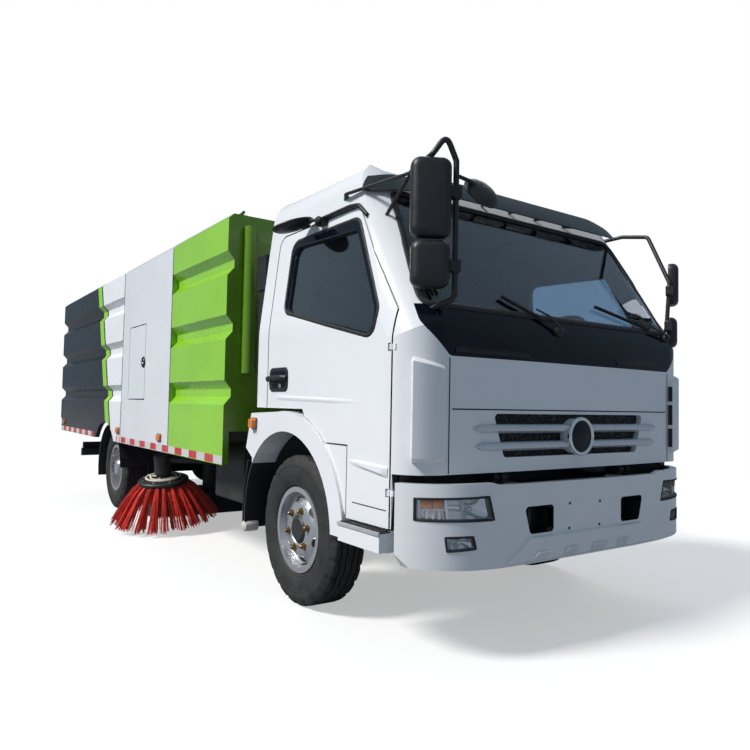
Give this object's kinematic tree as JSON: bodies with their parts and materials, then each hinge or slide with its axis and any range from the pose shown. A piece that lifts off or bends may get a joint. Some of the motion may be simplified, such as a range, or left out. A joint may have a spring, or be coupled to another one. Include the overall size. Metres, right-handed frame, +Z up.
{
  "type": "street sweeper truck",
  "caption": "Cab-over street sweeper truck with tilting cab, engine housing, tank section, tipping hopper, tailgate, spinning side brushes and lifting suction nozzle.",
  "frame": {"origin": "on the ground, midway between the bumper and the tailgate, on the centre line", "axes": "+X forward, +Y to the truck's left, +Z up"},
  "size_m": [7.2571, 2.616, 2.365],
  "materials": {
    "dark_steel": "satin",
    "bright_steel": "bright",
    "white_paint": "gloss",
    "green_paint": "gloss",
    "charcoal_paint": "gloss",
    "black_plastic": "matte",
    "grey_plastic": "matte",
    "clear_glass": "clear",
    "red_lens": "gloss",
    "tyre_rubber": "matte",
    "wheel_paint": "satin",
    "red_bristle": "matte"
  },
  "bodies": {
    "chassis": {"frame_rails": "dark_steel", "crossmembers": "dark_steel", "front_axle": "dark_steel", "rear_axle": "dark_steel", "engine": "dark_steel", "propshaft": "dark_steel", "side_tanks": "dark_steel", "bumper": "white_paint", "front_lamps": "clear_glass", "mudguards": "black_plastic", "underrun_bar": "dark_steel", "rear_lamps": "red_lens", "engine_housing": "green_paint", "aux_engine": "dark_steel", "tank_module": "white_paint", "tank_skirts": "white_paint", "suction_duct": "dark_steel", "roof_cover": "grey_plastic"},
    "cab": {"cab_shell": "white_paint", "cab_glass": "clear_glass", "cowl_panel": "black_plastic", "front_panel": "white_paint", "grille": "black_plastic", "sun_visor": "grey_plastic", "mirrors": "black_plastic", "fenders": "white_paint", "steps": "grey_plastic", "cab_interior": "black_plastic", "air_intake": "black_plastic"},
    "door_right": {"door_right": "white_paint", "door_glass_right": "clear_glass", "curb_mirror": "black_plastic"},
    "door_left": {"door_left": "white_paint", "door_glass_left": "clear_glass"},
    "steering_wheel": {"steering_wheel": "black_plastic"},
    "knuckle_left": {"knuckle_left": "dark_steel"},
    "knuckle_right": {"knuckle_right": "dark_steel"},
    "tie_rod": {"tie_rod": "dark_steel"},
    "wheel_front_left": {"tyre_front_left": "tyre_rubber", "rim_front_left": "wheel_paint"},
    "wheel_front_right": {"tyre_front_right": "tyre_rubber", "rim_front_right": "wheel_paint"},
    "wheel_rear_left": {"tyre_rear_left": "tyre_rubber", "rim_rear_left": "wheel_paint"},
    "wheel_rear_right": {"tyre_rear_right": "tyre_rubber", "rim_rear_right": "wheel_paint"},
    "hatch": {"hatch": "white_paint"},
    "hopper": {"hopper": "charcoal_paint"},
    "tailgate": {"tailgate": "charcoal_paint"},
    "lift_barrels": {"lift_barrels": "dark_steel"},
    "lift_rods": {"lift_rods": "bright_steel"},
    "brush_arm_right": {"brush_arm_right": "dark_steel"},
    "brush_right": {"brush_right": "red_bristle"},
    "brush_arm_left": {"brush_arm_left": "dark_steel"},
    "brush_left": {"brush_left": "red_bristle"},
    "suction_nozzle": {"suction_nozzle": "dark_steel"}
  },
  "joints": [
    {"name": "cab_tilt", "type": "hinge", "parent": "chassis", "child": "cab", "pos_m": [3.47, 0, 0.765], "axis": [0, 1, 0], "range_deg": [0, 28]},
    {"name": "door_right_swing", "type": "hinge", "parent": "cab", "child": "door_right", "pos_m": [3.372, -1.029, 1.2], "axis": [0, 0, 1], "range_deg": [0, 70]},
    {"name": "door_left_swing", "type": "hinge", "parent": "cab", "child": "door_left", "pos_m": [3.372, 1.029, 1.2], "axis": [0, 0, -1], "range_deg": [0, 70]},
    {"name": "steer_left", "type": "hinge", "parent": "chassis", "child": "knuckle_left", "pos_m": [2.46, 0.7705, 0.4025], "axis": [0, 0, 1], "range_deg": [-35, 35]},
    {"name": "steer_right", "type": "hinge", "parent": "chassis", "child": "knuckle_right", "pos_m": [2.46, -0.7705, 0.4025], "axis": [0, 0, 1], "range_deg": [-35, 35]},
    {"name": "tie_rod_pivot", "type": "hinge", "parent": "knuckle_left", "child": "tie_rod", "pos_m": [2.29, 0.7255, 0.3], "axis": [0, 0, 1], "range_deg": [-35, 35]},
    {"name": "steering_wheel_turn", "type": "hinge", "parent": "cab", "child": "steering_wheel", "pos_m": [2.98, 0.48, 1.5], "axis": [-0.5736, 0, 0.8192], "range_deg": [-440, 440]},
    {"name": "wheel_front_left_spin", "type": "hinge", "parent": "knuckle_left", "child": "wheel_front_left", "pos_m": [2.46, 0.8825, 0.4025], "axis": [0, 1, 0], "continuous": true},
    {"name": "wheel_front_right_spin", "type": "hinge", "parent": "knuckle_right", "child": "wheel_front_right", "pos_m": [2.46, -0.8825, 0.4025], "axis": [0, 1, 0], "continuous": true},
    {"name": "wheel_rear_left_spin", "type": "hinge", "parent": "chassis", "child": "wheel_rear_left", "pos_m": [-1.34, 0.8825, 0.4025], "axis": [0, 1, 0], "continuous": true},
    {"name": "wheel_rear_right_spin", "type": "hinge", "parent": "chassis", "child": "wheel_rear_right", "pos_m": [-1.34, -0.8825, 0.4025], "axis": [0, 1, 0], "continuous": true},
    {"name": "hatch_swing", "type": "hinge", "parent": "chassis", "child": "hatch", "pos_m": [-0.5, -1.09, 1.415], "axis": [0, 0, -1], "range_deg": [0, 100]},
    {"name": "hopper_tip", "type": "hinge", "parent": "chassis", "child": "hopper", "pos_m": [-3.34, 0, 0.87], "axis": [0, -1, 0], "range_deg": [0, 45]},
    {"name": "tailgate_swing", "type": "hinge", "parent": "hopper", "child": "tailgate", "pos_m": [-3.563, 0, 2.34], "axis": [0, 1, 0], "range_deg": [0, 80]},
    {"name": "lift_barrel_pivot", "type": "hinge", "parent": "chassis", "child": "lift_barrels", "pos_m": [-2.74, 0, 0.59], "axis": [0, -1, 0], "range_deg": [0, 70]},
    {"name": "lift_rod_slide", "type": "slide", "parent": "lift_barrels", "child": "lift_rods", "axis": [0.9847, 0, 0.1742], "range_m": [0, 0.7]},
    {"name": "brush_arm_right_lift", "type": "hinge", "parent": "chassis", "child": "brush_arm_right", "pos_m": [0.71, -0.6, 0.62], "axis": [0, 1, 0], "range_deg": [0, 14]},
    {"name": "brush_right_spin", "type": "hinge", "parent": "brush_arm_right", "child": "brush_right", "pos_m": [0.01, -0.92, 0.4], "axis": [0.1228, -0.1228, 0.9848], "continuous": true},
    {"name": "brush_arm_left_lift", "type": "hinge", "parent": "chassis", "child": "brush_arm_left", "pos_m": [0.71, 0.6, 0.62], "axis": [0, 1, 0], "range_deg": [0, 14]},
    {"name": "brush_left_spin", "type": "hinge", "parent": "brush_arm_left", "child": "brush_left", "pos_m": [0.01, 0.92, 0.4], "axis": [0.1228, 0.1228, 0.9848], "continuous": true},
    {"name": "nozzle_lift", "type": "slide", "parent": "chassis", "child": "suction_nozzle", "axis": [0, 0, 1], "range_m": [0, 0.1]}
  ],
  "couplings": [
    {"joint": "steer_right", "follows": "steer_left", "ratio": 1},
    {"joint": "tie_rod_pivot", "follows": "steer_left", "ratio": -1},
    {"joint": "steering_wheel_turn", "follows": "steer_left", "ratio": 12},
    {"joint": "lift_barrel_pivot", "follows": "hopper_tip", "ratio": 1.215},
    {"joint": "lift_rod_slide", "follows": "hopper_tip", "m_per_rad": 0.515}
  ]
}
